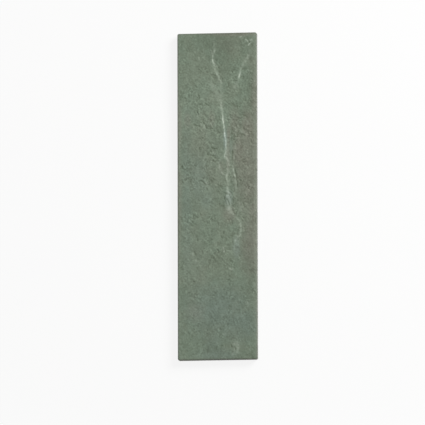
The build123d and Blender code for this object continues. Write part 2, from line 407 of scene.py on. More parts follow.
# How they are shaped
LEDGE_COUNT = 1.5  # how many ledges there are for each unit of their noise
LEDGE_RISER = 0.25  # the share of a ledge that its riser takes
CLUSTER_SPREAD = 0.42
CLUSTER_LEVEL = -0.09
CLUSTER_FLOOR = 0.3
PIT_LEVEL, PIT_RANGE = 1.5, 0.9
RIDGE_SHOWN, RIDGE_SHOWN_SPREAD, RIDGE_SHOWN_LIMIT = 0.35, 0.5, 1.6
HAIR_LEVEL, HAIR_WIDTH = 0.45, 0.26  # hair cracks run at this level of the ridges
LIP_LEVEL, LIP_WIDTH = 0.95, 0.28  # and small lips at this one
CRACK_DEEPENING = 2.0
CRACK_NARROWING = 0.85
LINE_REACH = 3  # how many half widths from its line a crack or stroke still matters

# How high each kind stands, how much painted shade it puts in the hollows, and how much painted
# shading and highlight it puts on the glaze
HEIGHT_SHARES = {
    "ledges": 0.012,
    "strokes": 0.030,
    "lumps": 0.010,
    "grain": 0.042,
    "pits": -0.09,
    "lips": 0.03,
    "hairs": -0.04,
}
HOLLOW_SHARES = {"pits": 0.7, "hairs": 0.3}
SHADE_SHARES = {"strokes": 0.5, "lumps": 0.18, "grain": 0.88, "lips": 0.7}
HOLLOW_LEVEL = 0.55
DARKEST_CRACK = 0.24
SHADE_MIDDLE, SHADE_SPREAD = 0.5, 0.19

# The small relief is calmer at both ends of the tile: its share there, and inwards from each
# end, where along Y it begins to grow and over what run
END_ROUGHNESS = 0.70
LOW_END, LOW_END_RUN = -70.0, 80.0
HIGH_END, HIGH_END_RUN = 138.0, 30.0

# Uneven wear of the pale strokes and of the rim: how much, and over what size
STROKE_BREAK, STROKE_BREAK_SIZE = 0.25, 1.2
RIM_BREAK, RIM_BREAK_SIZE = 0.25, 2.5
ARRIS_WIDTH = 0.5
INNER_RIM = 2.0  # the faint pale line inside the arris
RIM_FADE = 0.7

# The map of the relief, and the mesh that is made from it
FACE_EASE = 0.02  # how softly the highest points are held under the thickness
MAP_STEP = 0.25
MAP_MARGIN = 2.0
FACE_SPACING = 0.56
SHOULDER_RINGS = (0.25, 0.45, 0.62, 0.74, 0.83, 0.90, 0.95, 0.985)  # shares of the corner radius
CORNER_STEPS = 6
POCKET_CORNER_STEPS = 3
SHARP_ANGLE = 50
SEED = 5

# Soft patches of the glaze: (x, y, half width, half length, amount)
WARM_PATCHES = [
    (31, 28, 15, 46, 1),
    (35, -16, 7.5, 22, 0.95),
    (34, -44, 12, 30, 1),
    (29, 62, 8, 17, 1),
    (10, 40, 2.6, 20, 0.75),
    (33, -50, 6, 14, 1),
    (-35.5, -8, 3.4, 62, 0.5),
    (20, 40, 7, 20, 1),
    (-21, -62, 14, 34, 0.28),
    (-12, 34, 19, 62, 0.3),
    (17, 66, 6, 14, 0.7),
    (11, -17, 6, 8, 0.7),
    (10.4, 57, 2, 7, 1),
    (4, 27, 4.5, 8, 0.45),
    (37, 88, 6.5, 30, 1),
    (33, 124, 5, 22, 0.35),
    (-4.8, 70, 3.6, 10, 0.6),
    (-27, 70, 3.4, 8, 0.6),
    (-35, 62, 3, 24, 0.6),
    (13, 141, 12, 10, 0.35),
    (18, 149, 26, 3, 1),
    (-20, -106, 9, 8, 0.6),
]
COOL_PATCHES = [
    (-28, 4, 5, 72, 0.4),
    (-18, 18, 10, 22, 0.4),
    (17.6, -48, 3.6, 9, 0.7),
    (12.6, 44, 1.8, 9, 0.3),
    (10.4, -3, 4.2, 7, 0.65),
    (2, -105, 30, 24, 0.75),
    (20, -116, 24, 17, 0.75),
    (-4, -131, 9, 12, 0.5),
    (7.4, 52, 1.8, 9.5, 1),
    (0, -146, 18, 7, 0.7),
    (-10, -4, 6, 8, 0.4),
]
PALE_PATCHES = [
    (-1, 98, 5, 9, 0.06),
    (10.6, 50, 2.6, 20, 0.1),
    (10, 70, 3, 9, 0.1),
    (16.5, 101, 3, 4, 0.14),
    (10.4, -1, 2.4, 8, 0.15),
    (17.8, -47, 3, 8, 0.15),
    (17, -138, 3.5, 7, 0.12),
    # A painted highlight along the right rim, on the side the light comes from
    (35.4, 0, 1.6, 160, 0.16),
]

# Broad lighter and darker places, partly uneven colour and partly painted shading where the face
# tilts: (x, y, half width, half length, share more or less light)
TONE_AND_SHADING_PATCHES = [
    (0, 142, 26, 12, -0.21),
    (10, 126, 16, 14, -0.08),
    (4, 114, 8, 8, -0.08),
    (9, 75, 5, 7, 0.05),
    (-7, 100, 6, 9, 0.05),
    (9, 10, 5, 7, 0.06),
    (-14, -28, 7, 8, 0.06),
    (0, -131, 6, 7, 0.07),
    (31, -118, 7, 14, -0.07),
    (-31, 24, 5, 9, -0.06),
    (-31, 9, 5, 6, 0.06),
    (18, 62, 6, 6, 0.12),
    (-6, 127, 5, 5, -0.1),
    (1, 127, 4, 6, 0.05),
    (9, 88, 4.5, 7, 0.06),
    (31, 96, 6, 12, -0.07),
    (1, 38, 5, 8, 0.04),
    (3, 28, 5, 8, 0.05),
    (-7, 24, 5, 6, 0.05),
    (-1, 61, 5, 6, 0.04),
    (1, -29, 5, 7, 0.05),
    (-19, -107, 8, 8, 0.07),
    (32, 130, 6, 14, -0.05),
    (14, 149.6, 24, 1.5, -0.2),
    # Painted shade along the left and bottom edges, the sides turned away from the light
    (-36.2, 10, 1.2, 150, -0.2),
    (6, -150.2, 44, 1.3, -0.55),
    (22, 112, 15, 12, -0.06),
    (-20, 74, 18, 14, 0.12),
    (-33, 112, 3, 20, -0.04),
    (-22, 8, 11, 8, 0.06),
    (-15, -4, 7, 7, 0.05),
    (25, 74, 13, 9, -0.08),
    (3, 49, 3, 3.5, -0.1),
    (25, 10, 11, 12, -0.05),
    (24.5, -44, 5, 10, -0.12),
    (1, -57, 10, 8, -0.04),
    (8, -52, 5, 8, 0.02),
    (18, -126, 12, 8, -0.02),
    (31, -66, 7, 11, -0.14),
    (26, -59, 6, 12, -0.04),
    (29, -92, 8, 9, -0.06),
    (-26, -64, 7, 9, 0.05),
    (33, 32, 4.5, 16, -0.06),
    (-31, 101, 5, 8, -0.04),
    (25, 102, 6, 5, -0.05),
    (32, 88, 5, 7, -0.05),
    (25, -16, 4.5, 6, 0.05),
    (11, -17, 5, 7, 0.06),
    (-34, 40, 2.5, 22, 0.05),
    (34, 92, 3.5, 26, -0.03),
    (20, -147, 16, 3, -0.08),
    (27, -36, 7, 7, 0.02),
    (8, -112, 38, 40, -0.08),
    (0, -141, 14, 12, -0.05),
]

# Colours of the finish, as linear values
SAGE = (0.152, 0.197, 0.144)
TAUPE = (0.165, 0.195, 0.142)
WARM = (0.166, 0.175, 0.1365)
COOL = (0.150, 0.197, 0.163)
PALE = (0.52, 0.588, 0.489)
PALE_COOL = (0.515, 0.583, 0.525)
# DEEP is both the dark of the body's specks and the painted shade in the hollows
DEEP = (0.050, 0.069, 0.036)
ARRIS = (0.126, 0.137, 0.106)
BODY = (0.222, 0.223, 0.208)
BODY_PALE = (0.275, 0.272, 0.252)
RIB_WASH = (0.43, 0.43, 0.40)

# Noises of the finish: scale for each metre, and detail
BROAD = (55.0, 3.0)
MOTTLE = (170.0, 4.0)
SPECK = (620.0, 2.0)
DUST = (1500.0, 2.0)
NOISE_ROUGHNESS = 0.55

# How one value of the finish turns into another: low, high, and what it gives at each
BROAD_TO_TAUPE = (0.42, 0.62, 0.0, 0.4)
BROAD_TO_WARM = (0.3, 0.7, 0.75, 1.0)
BROAD_TO_COOL = (0.7, 0.3, 0.75, 1.0)
MOTTLE_TO_LIGHT = (0.30, 0.70, 0.94, 1.06)
SPECK_TO_LIGHT = (0.25, 0.75, 0.88, 1.12)
SHADE_TO_LIGHT = (0.0, 1.0, 0.80, 1.20)
LIGHT_TO_BLUE = (0.75, 1.05, 0.96, 1.0)
SPECK_TO_WEAR = (0.2, 0.7, 0.80, 1.0)
MOTTLE_TO_BODY = (0.35, 0.65, 0.0, 1.0)
DUST_TO_BODY = (0.66, 0.74, 0.0, 0.5)
MOTTLE_TO_WASH = (0.25, 0.6, 0.25, 0.85)
MOTTLE_TO_GLAZE = (0.3, 0.7, -0.22, 0.22)
EDGE_TO_GLAZE = (0.40, 0.62, 0.0, 1.0)
SPECK_TO_ROUGHNESS = (0.3, 0.7, 0.50, 0.62)

# How strongly the places that the map holds show in the glaze
ARRIS_STRENGTH = 0.7
# HOLLOW_STRENGTH is how strongly the painted shade in the hollows shows
HOLLOW_STRENGTH = 0.75
INNER_RIM_STRENGTH = 0.07
WEAR_STRENGTH = 0.58
WEAR_LIMIT = 0.8

# Bare body, and the kiln wash on its ribs
GLAZE_START = 2.6  # how far above the flank the glaze begins
GLAZE_FADE = 1.9  # and over what height it becomes whole
WASH_RISE = 0.12  # how far up from the bed the wash is whole, and then fades over
BODY_ROUGHER = 0.25

# How soft patches fade outwards: a higher power gives them firmer edges
FIRM_FADE = 1.5
SOFT_FADE = 1.0

# Fine bump and gloss
DUST_BUMP = 0.35
BUMP_STRENGTH = 0.55
BUMP_DEPTH = 0.12
GLAZE_IOR = 1.5
GLAZE_SPECULAR = 0.35

# Studio: places, sizes and reaches in metres, power in watts
WHITE = (1.0, 1.0, 1.0)
FLOOR_COLOUR = (0.80, 0.80, 0.79)
FLOOR_WHITE_SHARE = 0.86  # how much of the floor shows as white, the rest keeps the shadow
FLOOR_REACH = 3.0
SOFT_STRENGTH = 0.352
LAMP_SIZE = 0.9
KEY_PLACE = (1.28, 0.86, 1.12)
KEY_POWER = 41.2
UNDER_PLACE = (1.50, -0.90, -0.90)
UNDER_POWER = 60.0
FLOOR_LAP = 0.05  # how far the floor reaches in under the bed, in millimetres

# View: how the tile leans towards the camera, and where the picture has the tile's origin
VIEW_LEAN_X = -7.37
VIEW_LEAN_Y = -7.66
VIEW_ROLL = 1.106
VIEW_DISTANCE = 10000.0
PICTURE_PIXELS = 425
PIXELS_PER_MM = 1.0975
ORIGIN_PIXEL = (218.41, 197.21)
SENSOR_WIDTH = 36.0
CLIP_END = 100.0  # in metres


def smooth_step(share):
    """Rises smoothly from 0 to 1 as the share does, and stays level outside that."""
    share = np.clip(share, 0.0, 1.0)
    return share * share * (3 - 2 * share)


def bell(away, width):
    """1 at no distance, and smoothly less towards 0 on both sides."""
    return np.exp(-((away / width) ** 2))


def wave_height(x, y):
    """The sum of the long waves."""
    total = np.zeros_like(x)
    for height_share, length_share, heading, phase in WAVES:
        along = x * cos(radians(heading)) + y * sin(radians(heading))
        turn = 2 * pi * along / (length_share * WAVE_LENGTH) + radians(phase)
        total += height_share * WAVE_HEIGHT * np.sin(turn)
    return total


def off_segment(x, y, start, end):
    """How far along a segment the place nearest to a point is, and the way from there to it."""
    run_x, run_y = end[0] - start[0], end[1] - start[1]
    share = ((x - start[0]) * run_x + (y - start[1]) * run_y) / (run_x**2 + run_y**2)
    share = np.clip(share, 0, 1)
    return share, x - start[0] - share * run_x, y - start[1] - share * run_y


def nearest_on_cleft(x, y, cleft):
    """The signed distance to a cleft's line, positive on its low side, and its values there."""
    nearest = np.full(x.shape, np.inf)
    low_side = np.zeros(x.shape, bool)
    values = np.zeros((3, *x.shape))
    for start, end in zip(cleft, cleft[1:]):
        share, away_x, away_y = off_segment(x, y, start, end)
        distance = np.hypot(away_x, away_y)
        nearer = distance < nearest
        nearest = np.where(nearer, distance, nearest)
        turn = away_y * (end[0] - start[0]) - away_x * (end[1] - start[1])
        low_side = np.where(nearer, turn > 0, low_side)
        for place, (value1, value2) in enumerate(zip(start[2:], end[2:])):
            values[place] = np.where(nearer, value1 + share * (value2 - value1), values[place])
    return np.where(low_side, nearest, -nearest), *values


def patches_at(x, y, patches, fade, gather):
    """The soft patches' amounts at each point, fading outwards, gathered into one value."""
    total = np.zeros_like(x)
    for centre_x, centre_y, half_width, half_length, amount in patches:
        away = ((x - centre_x) / half_width) ** 2 + ((y - centre_y) / half_length) ** 2
        total = gather(total, amount * np.exp(-(away**fade)))
    return total


class ReliefMap:
    """The face's relief and its worn and coloured places, on a fine regular grid."""

    def __init__(self):
        self.random = np.random.default_rng(SEED)
        half_x, half_y = TILE_WIDTH / 2 + MAP_MARGIN, TILE_LENGTH / 2 + MAP_MARGIN
        self.xs = np.arange(-half_x, half_x + MAP_STEP, MAP_STEP)
        self.ys = np.arange(-half_y, half_y + MAP_STEP, MAP_STEP)
        self.x, self.y = np.meshgrid(self.xs, self.ys)
        self.height = np.zeros_like(self.x)
        self.layers = {}

    def noise(self, size, length=None, heading=0.0):
        """Smooth random relief of unit spread: size across it and length along its heading."""
        length = length or size
        white = self.random.standard_normal(self.x.shape)
        freq_x = np.fft.fftfreq(self.x.shape[1], MAP_STEP)
        freq_y = np.fft.fftfreq(self.x.shape[0], MAP_STEP)
        fx, fy = np.meshgrid(freq_x, freq_y)
        turn = radians(heading)
        along, across = fx * cos(turn) + fy * sin(turn), fy * cos(turn) - fx * sin(turn)
        keep = np.exp(-((along * length) ** 2 + (across * size) ** 2) * pi)
        made = np.real(np.fft.ifft2(np.fft.fft2(white) * keep))
        return (made - made.mean()) / made.std()

    def uneven(self, amount, size):
        """Wear that comes and goes: its spread is the amount, and its level is 1 less the amount."""
        return 1 - amount + amount * self.noise(size)

    def near(self, points, reach, warp):
        """The part of the map near a line, and how far from the line each place in it is."""
        ends = np.array(points)
        low, high = ends.min(0) - reach, ends.max(0) + reach
        columns = slice(*np.searchsorted(self.xs, (low[0], high[0])))
        rows = slice(*np.searchsorted(self.ys, (low[1], high[1])))
        x = self.x[rows, columns] + warp[0][rows, columns]
        y = self.y[rows, columns] + warp[1][rows, columns]
        away = np.full(x.shape, np.inf)
        for start, end in zip(points, points[1:]):
            _, away_x, away_y = off_segment(x, y, start, end)
            away = np.minimum(away, np.hypot(away_x, away_y))
        return (rows, columns), away

    def lines(self, rows, warp, narrowing=1.0):
        """The strongest of many soft lines at each place."""
        total = np.zeros_like(self.x)
        for amount, half_width, *points in rows:
            part, away = self.near(points, LINE_REACH * half_width, warp)
            total[part] = np.maximum(total[part], amount * bell(away, narrowing * half_width))
        return total

    def sample(self, values, x, y):
        """Values of the map at points between its own, worked out in a straight line."""
        place_x, place_y = (x - self.xs[0]) / MAP_STEP, (y - self.ys[0]) / MAP_STEP
        i = np.clip(place_x.astype(int), 0, len(self.xs) - 2)
        j = np.clip(place_y.astype(int), 0, len(self.ys) - 2)
        u, v = place_x - i, place_y - j
        low = values[j, i] * (1 - u) + values[j, i + 1] * u
        high = values[j + 1, i] * (1 - u) + values[j + 1, i + 1] * u
        return low * (1 - v) + high * v


def make_clefts(relief, warp):
    """How far the clefts lower the face, and how worn the glaze is along their lips."""
    x, y = relief.x + warp[0], relief.y + warp[1]
    whole = LIP_WHOLE + sum(amount * relief.noise(size) for amount, size in LIP_BREAKS)
    broken = smooth_step(whole)
    height, worn = np.zeros_like(x), np.zeros_like(x)
    for cleft in CLEFTS.values():
        distance, drop, pale, lip = nearest_on_cleft(x, y, cleft)
        step = smooth_step(distance / lip + 0.5)
        height -= CLEFT_DROP * drop * step * np.exp(-np.maximum(distance, 0) / CLEFT_RUN)
        crest = bell(distance, CREST_WIDTH + CREST_PER_LIP * lip)
        crest += HALO_SHARE * bell(distance, HALO_WIDTH)
        worn = np.maximum(worn, pale * crest * broken)
    return height, worn


def make_kinds(relief):
    """Each kind of the split stone's small relief, by its name."""
    turn = LEDGE_COUNT * relief.noise(*LEDGES)
    clusters = np.exp(CLUSTER_SPREAD * relief.noise(*CLUSTERS) + CLUSTER_LEVEL)
    rougher = patches_at(relief.x, relief.y, ROUGH_PATCHES, SOFT_FADE, np.add)
    clusters *= np.maximum(1 + rougher, CLUSTER_FLOOR)
    strokes = relief.noise(*STROKES) * clusters
    lumps = relief.noise(*LUMPS)
    grain = relief.noise(*GRAIN) * clusters
    pits = smooth_step((relief.noise(*PITS) * clusters - PIT_LEVEL) / PIT_RANGE)
    ridges = relief.noise(*RIDGES)
    shown = smooth_step(RIDGE_SHOWN + RIDGE_SHOWN_SPREAD * relief.noise(*RIDGE_GROUPS))
    shown = shown * np.minimum(clusters, RIDGE_SHOWN_LIMIT)
    return {
        "ledges": np.floor(turn) + smooth_step((turn % 1.0) / LEDGE_RISER),
        "strokes": strokes,
        "lumps": lumps,
        "grain": grain,
        "pits": pits,
        "hairs": bell(ridges - HAIR_LEVEL, HAIR_WIDTH) * shown,
        "lips": bell(ridges - LIP_LEVEL, LIP_WIDTH) * shown,
    }


def weigh(kinds, shares):
    """The sum of some kinds of relief, each by its share."""
    return sum(share * kinds[name] for name, share in shares.items())


def make_relief():
    """The whole relief of the face in mm below the thickness, and its layers for the finish."""
    relief = ReliefMap()
    x, y = relief.x, relief.y
    warp = WARP * relief.noise(WARP_SIZE), WARP * relief.noise(WARP_SIZE)
    clefts, worn = make_clefts(relief, warp)
    kinds = make_kinds(relief)
    cracks = CRACK_DEEPENING * relief.lines(CRACKS, warp, CRACK_NARROWING)
    full = smooth_step((y - LOW_END) / LOW_END_RUN) * smooth_step((HIGH_END - y) / HIGH_END_RUN)
    rough = END_ROUGHNESS + (1 - END_ROUGHNESS) * full

    to_rim = np.minimum(TILE_WIDTH / 2 - np.abs(x), TILE_LENGTH / 2 - np.abs(y))
    calm = RIM_RELIEF + (1 - RIM_RELIEF) * smooth_step(to_rim / RIM_BAND)
    height = (wave_height(x, y) + clefts) * calm
    height -= height[to_rim >= 0].max()
    height += rough * weigh(kinds, HEIGHT_SHARES) - cracks
    relief.height = -FACE_EASE * np.log1p(np.exp(-height / FACE_EASE))

    strokes = relief.lines(PALE_STROKES, warp)
    strokes *= smooth_step(relief.uneven(STROKE_BREAK, STROKE_BREAK_SIZE))
    rim_break = relief.uneven(RIM_BREAK, RIM_BREAK_SIZE)
    # Painted shade in the pits, hair cracks and cracks
    hollow = HOLLOW_LEVEL * rough * weigh(kinds, HOLLOW_SHARES) + cracks / DARKEST_CRACK
    relief.layers = {
        "pale": np.maximum(worn, strokes),
        "hollow": np.clip(hollow, 0, 1),
        # Painted shading and highlights that follow the strokes, lumps, grain and lips of the small
        # relief
        "shade": SHADE_MIDDLE + SHADE_SPREAD * rough * weigh(kinds, SHADE_SHARES),
        "warm": patches_at(x, y, WARM_PATCHES, FIRM_FADE, np.maximum),
        "cool": patches_at(x, y, COOL_PATCHES, FIRM_FADE, np.maximum),
        "light": patches_at(x, y, PALE_PATCHES, FIRM_FADE, np.maximum),
        # Uneven colour together with painted broad shading and painted edge shade
        "tone_and_painted_shading": patches_at(x, y, TONE_AND_SHADING_PATCHES, SOFT_FADE, np.add),
        "arris": bell(np.maximum(to_rim - ARRIS_WIDTH, 0), RIM_FADE) * rim_break,
        "inner_rim": bell(to_rim - INNER_RIM, RIM_FADE) * rim_break,
    }
    return relief


def face_height(relief, x, y):
    """The face's own height above the bed."""
    return TILE_THICKNESS + relief.sample(relief.height, x, y)


def shoulder_height(offset):
    """The round shoulder's height at so many mm outside the inner rectangle of the plan."""
    into_round = np.clip(offset - (CORNER_RADIUS - ARRIS_RADIUS), 0, ARRIS_RADIUS)
    centre = TILE_THICKNESS + ARRIS_RISE - ARRIS_RADIUS
    return centre + np.sqrt(ARRIS_RADIUS**2 - into_round**2)


def lower_of(one, two):
    """The lower of two heights, running softly from one into the other."""
    least = np.minimum(one, two)
    above = np.exp(-(one - least) / ARRIS_BLEND) + np.exp(-(two - least) / ARRIS_BLEND)
    return least - ARRIS_BLEND * np.log(above)


def grid_lines(span):
    """Where the face's grid lines lie along a side, between the centres of its corners."""
    half = span / 2 - CORNER_RADIUS
    return np.linspace(-half, half, ceil(2 * half / FACE_SPACING) + 1)


def outline_samples(xs, ys):
    """Round the grid, anticlockwise: the grid vertex, the point and the way outwards."""
    last_x, last_y = len(xs) - 1, len(ys) - 1
    sides = [
        ([(i, 0) for i in range(len(xs))], -90),
        ([(last_x, j) for j in range(len(ys))], 0),
        ([(i, last_y) for i in reversed(range(len(xs)))], 90),
        ([(0, j) for j in reversed(range(len(ys)))], 180),
    ]
    grid, points, ways = [], [], []
    for places, heading in sides:
        turns = [heading] * len(places)
        for step in range(1, CORNER_STEPS):
            places.append(places[-1])
            turns.append(heading + 90 * step / CORNER_STEPS)
        for (i, j), turn in zip(places, turns):
            grid.append(j * len(xs) + i)
            points.append((xs[i], ys[j]))
            ways.append((cos(radians(turn)), sin(radians(turn))))
    return grid, np.array(points), np.array(ways)


class MeshBuilder:
    """Collects vertices and faces, in millimetres."""

    def __init__(self):
        self.blocks = []
        self.count = 0
        self.faces = []

    def add(self, points):
        """Adds vertices and returns their numbers."""
        self.blocks.append(points)
        first = self.count
        self.count += len(points)
        return list(range(first, self.count))

    def band(self, inner, outer):
        """Joins two closed rows of vertices with quads, or triangles where two are one."""
        for step in range(len(inner)):
            after = (step + 1) % len(inner)
            ring = [inner[step], outer[step], outer[after], inner[after]]
            self.faces.append(list(dict.fromkeys(ring)))

    def points(self):
        """All the vertices so far, as one array."""
        return np.concatenate(self.blocks)


def pocket_row(span):
    """How many pockets lie along a side of the bed, and how long each is."""
    filled = span - 2 * BORDER_WIDTH + RIB_WIDTH
    count = max(round(filled / (POCKET_SIZE + RIB_WIDTH)), 1)
    return count, filled / count - RIB_WIDTH


def rounded_outline(size_x, size_y, radius):
    """A rounded rectangle's points about its centre, anticlockwise."""
    points = []
    for corner, (side_x, side_y) in enumerate([(1, -1), (1, 1), (-1, 1), (-1, -1)]):
        centre = (side_x * (size_x / 2 - radius), side_y * (size_y / 2 - radius))
        for step in range(POCKET_CORNER_STEPS + 1):
            turn = radians(90 * (corner - 1) + 90 * step / POCKET_CORNER_STEPS)
            points.append((centre[0] + radius * cos(turn), centre[1] + radius * sin(turn)))
    return np.array(points)


def raised(outline, height):
    """Plan points at one height, or each at its own."""
    return np.column_stack([outline, np.broadcast_to(height, len(outline))])


def pocket_levels(size_x, size_y):
    """A pocket's outlines from its softened mouth to its floor, each with its height."""
    draw_in = POCKET_DEPTH * tan(radians(POCKET_DRAFT))
    levels = [
        (0.0, POCKET_CORNER, 0.0),
        (POCKET_LIP, POCKET_CORNER - POCKET_LIP / 2, POCKET_LIP / 2),
        (2 * draw_in, POCKET_CORNER - draw_in, POCKET_DEPTH - POCKET_LIP / 2),
        (2 * draw_in + 3 * POCKET_LIP, POCKET_CORNER - draw_in, POCKET_DEPTH),
    ]
    return [
        (rounded_outline(size_x - smaller, size_y - smaller, corner), height)
        for smaller, corner, height in levels
    ]


def add_pockets(builder):
    """All the pockets. It gives the loop of vertices round each one's mouth."""
    count_x, size_x = pocket_row(TILE_WIDTH - 2 * FLANK_INSET)
    count_y, size_y = pocket_row(TILE_LENGTH - 2 * FLANK_INSET)
    levels = pocket_levels(size_x, size_y)
    mouths = []
    for i in range(count_x):
        for j in range(count_y):
            centre = (
                (i - (count_x - 1) / 2) * (size_x + RIB_WIDTH),
                (j - (count_y - 1) / 2) * (size_y + RIB_WIDTH),
            )
            rings = [builder.add(raised(outline + centre, height)) for outline, height in levels]
            for lower, upper in zip(rings, rings[1:]):
                builder.band(lower[::-1], upper[::-1])
            builder.faces.append(rings[-1][::-1])
            mouths.append(rings[0])
    return mouths


def add_ribs(builder, loops):
    """The lattice of ribs on the bed plane, between the outer loop and the pockets' mouths."""
    points = builder.points()
    flat = [vertex for loop in loops for vertex in loop]
    for triangle in tessellate_polygon([[Vector(points[v]) for v in loop] for loop in loops]):
        a, b, c = (flat[place] for place in triangle)
        one, two = points[b] - points[a], points[c] - points[a]
        faces_up = one[0] * two[1] - one[1] * two[0] > 0
        builder.faces.append([a, c, b] if faces_up else [a, b, c])


def add_face(builder, relief, xs, ys):
    """The riven face inside its shoulder, as a grid of quads."""
    x, y = (values.ravel() for values in np.meshgrid(xs, ys))
    z = lower_of(face_height(relief, x, y), shoulder_height(np.zeros_like(x)))
    builder.add(np.column_stack([x, y, z]))
    for j in range(len(ys) - 1):
        row = j * len(xs)
        for i in range(row, row + len(xs) - 1):
            builder.faces.append([i, i + 1, i + 1 + len(xs), i + len(xs)])


def add_edges(builder, relief, xs, ys):
    """The shoulder, the land and the flank, ring by ring. It gives the ring at the bed."""
    ring, points, ways = outline_samples(xs, ys)
    wander = relief.sample(relief.noise(EDGE_WANDER_SIZE), *points.T)
    inset = EDGE_WANDER * (0.5 + 0.5 * np.clip(wander / 2, -1, 1))
    rings = []
    for share in SHOULDER_RINGS:
        offset = CORNER_RADIUS * share
        place = points + ways * (offset - inset * share)[:, None]
        shoulder = shoulder_height(np.full(len(place), offset))
        rings.append((place, lower_of(face_height(relief, *place.T), shoulder)))
    land_top = TILE_THICKNESS + ARRIS_RISE - ARRIS_RADIUS
    sides = [
        (CORNER_RADIUS, land_top - LAND_START),
        (CORNER_RADIUS, (land_top + FLANK_HEIGHT) / 2),
        (CORNER_RADIUS, FLANK_HEIGHT),
        (CORNER_RADIUS - FLANK_INSET / 2, FLANK_HEIGHT / 2),
        (CORNER_RADIUS - FLANK_INSET, 0.0),
    ]
    rings += [(points + ways * (offset - inset)[:, None], height) for offset, height in sides]
    for place, height in rings:
        outer = builder.add(raised(place, height))
        builder.band(ring, outer)
        ring = outer
    return ring


def add_layers(mesh, relief, vertices):
    """What the finish reads at each vertex: the map's layers, and how far it is glazed."""
    x, y, z = vertices.T
    layers = {name: relief.sample(values, x, y) for name, values in relief.layers.items()}
    layers["glazed"] = smooth_step((z - (FLANK_HEIGHT + GLAZE_START)) / GLAZE_FADE)
    for name, values in layers.items():
        attribute = mesh.attributes.new(name, "FLOAT", "POINT")
        attribute.data.foreach_set("value", values.astype(np.float32))


def make_tile_mesh(relief):
    """The whole tile as one closed mesh."""
    builder = MeshBuilder()
    xs, ys = grid_lines(TILE_WIDTH), grid_lines(TILE_LENGTH)
    add_face(builder, relief, xs, ys)
    bed_ring = add_edges(builder, relief, xs, ys)
    add_ribs(builder, [bed_ring] + add_pockets(builder))

    mesh = bpy.data.meshes.new("riven_tile")
    vertices = builder.points()
    mesh.from_pydata((vertices * MM).tolist(), [], builder.faces)
    mesh.validate()
    mesh.update()
    add_layers(mesh, relief, vertices)
    mesh.shade_smooth()
    mesh.set_sharp_from_angle(angle=radians(SHARP_ANGLE))
    return mesh


class Nodes:
    """Short words for building a node tree."""

    def __init__(self, owner):
        owner.use_nodes = True
        self.tree = owner.node_tree
        self.tree.nodes.clear()

    def node(self, kind, settings=None, **inputs):
        """A node of a kind, with its settings and its named inputs."""
        made = self.tree.nodes.new(kind)
        for name, value in (settings or {}).items():
            setattr(made, name, value)
        for name, value in inputs.items():
            self.put(made.inputs[name.replace("_", " ")], value)
        return made

    def put(self, socket, value):
        """Links another socket to this one, or sets its own value."""
        if isinstance(value, bpy.types.NodeSocket):
            self.tree.links.new(value, socket)
        elif isinstance(value, tuple) and len(value) == 3 and socket.type == "RGBA":
            socket.default_value = (*value, 1.0)
        else:
            socket.default_value = value

    def attribute(self, name):
        """One of the mesh's layers."""
        return self.node("ShaderNodeAttribute", {"attribute_name": name}).outputs["Fac"]

    def result(self, kind, settings, *values):
        """The first output of a node whose first inputs hold the values, in their order."""
        made = self.node(kind, settings)
        for socket, value in zip(made.inputs, values):
            self.put(socket, value)
        return made.outputs[0]

    def math(self, operation, one, two):
        """Two values worked into one."""
        return self.result("ShaderNodeMath", {"operation": operation}, one, two)

    def times(self, one, two):
        """Two values multiplied."""
        return self.math("MULTIPLY", one, two)

    def ramp(self, value, *ranges):
        """A value turned smoothly from one range into another: low, high, to low, to high."""
        smoothly = {"interpolation_type": "SMOOTHSTEP"}
        return self.result("ShaderNodeMapRange", smoothly, value, *ranges)

    def mix(self, share, one, two, blend="MIX"):
        """One colour going over into another."""
        made = self.node("ShaderNodeMix", {"data_type": "RGBA", "blend_type": blend})
        for name, value in (("Factor", share), ("A", one), ("B", two)):
            self.put(made.inputs[name], value)
        return made.outputs["Result"]

    def mix_shaders(self, share, one, two):
        """One shader going over into another."""
        return self.result("ShaderNodeMixShader", None, share, one, two)

    def noise(self, vector, scale, detail):
        """Soft noise in space, from 0 to 1."""
        made = self.node("ShaderNodeTexNoise", {"noise_dimensions": "3D"}, Vector=vector)
        made.inputs["Scale"].default_value = scale
        made.inputs["Detail"].default_value = detail
        made.inputs["Roughness"].default_value = NOISE_ROUGHNESS
        return made.outputs["Fac"]

    def seen(self):
        """1 for rays that show the studio itself, straight, mirrored or through glass."""
        paths = self.node("ShaderNodeLightPath").outputs
        direct = self.math("MAXIMUM", paths["Is Camera Ray"], paths["Is Glossy Ray"])
        return self.math("MAXIMUM", direct, paths["Is Transmission Ray"])

    def end(self, kind, shader):
        """Ends the tree in an output of that kind."""
        self.put(self.node(kind).inputs["Surface"], shader)


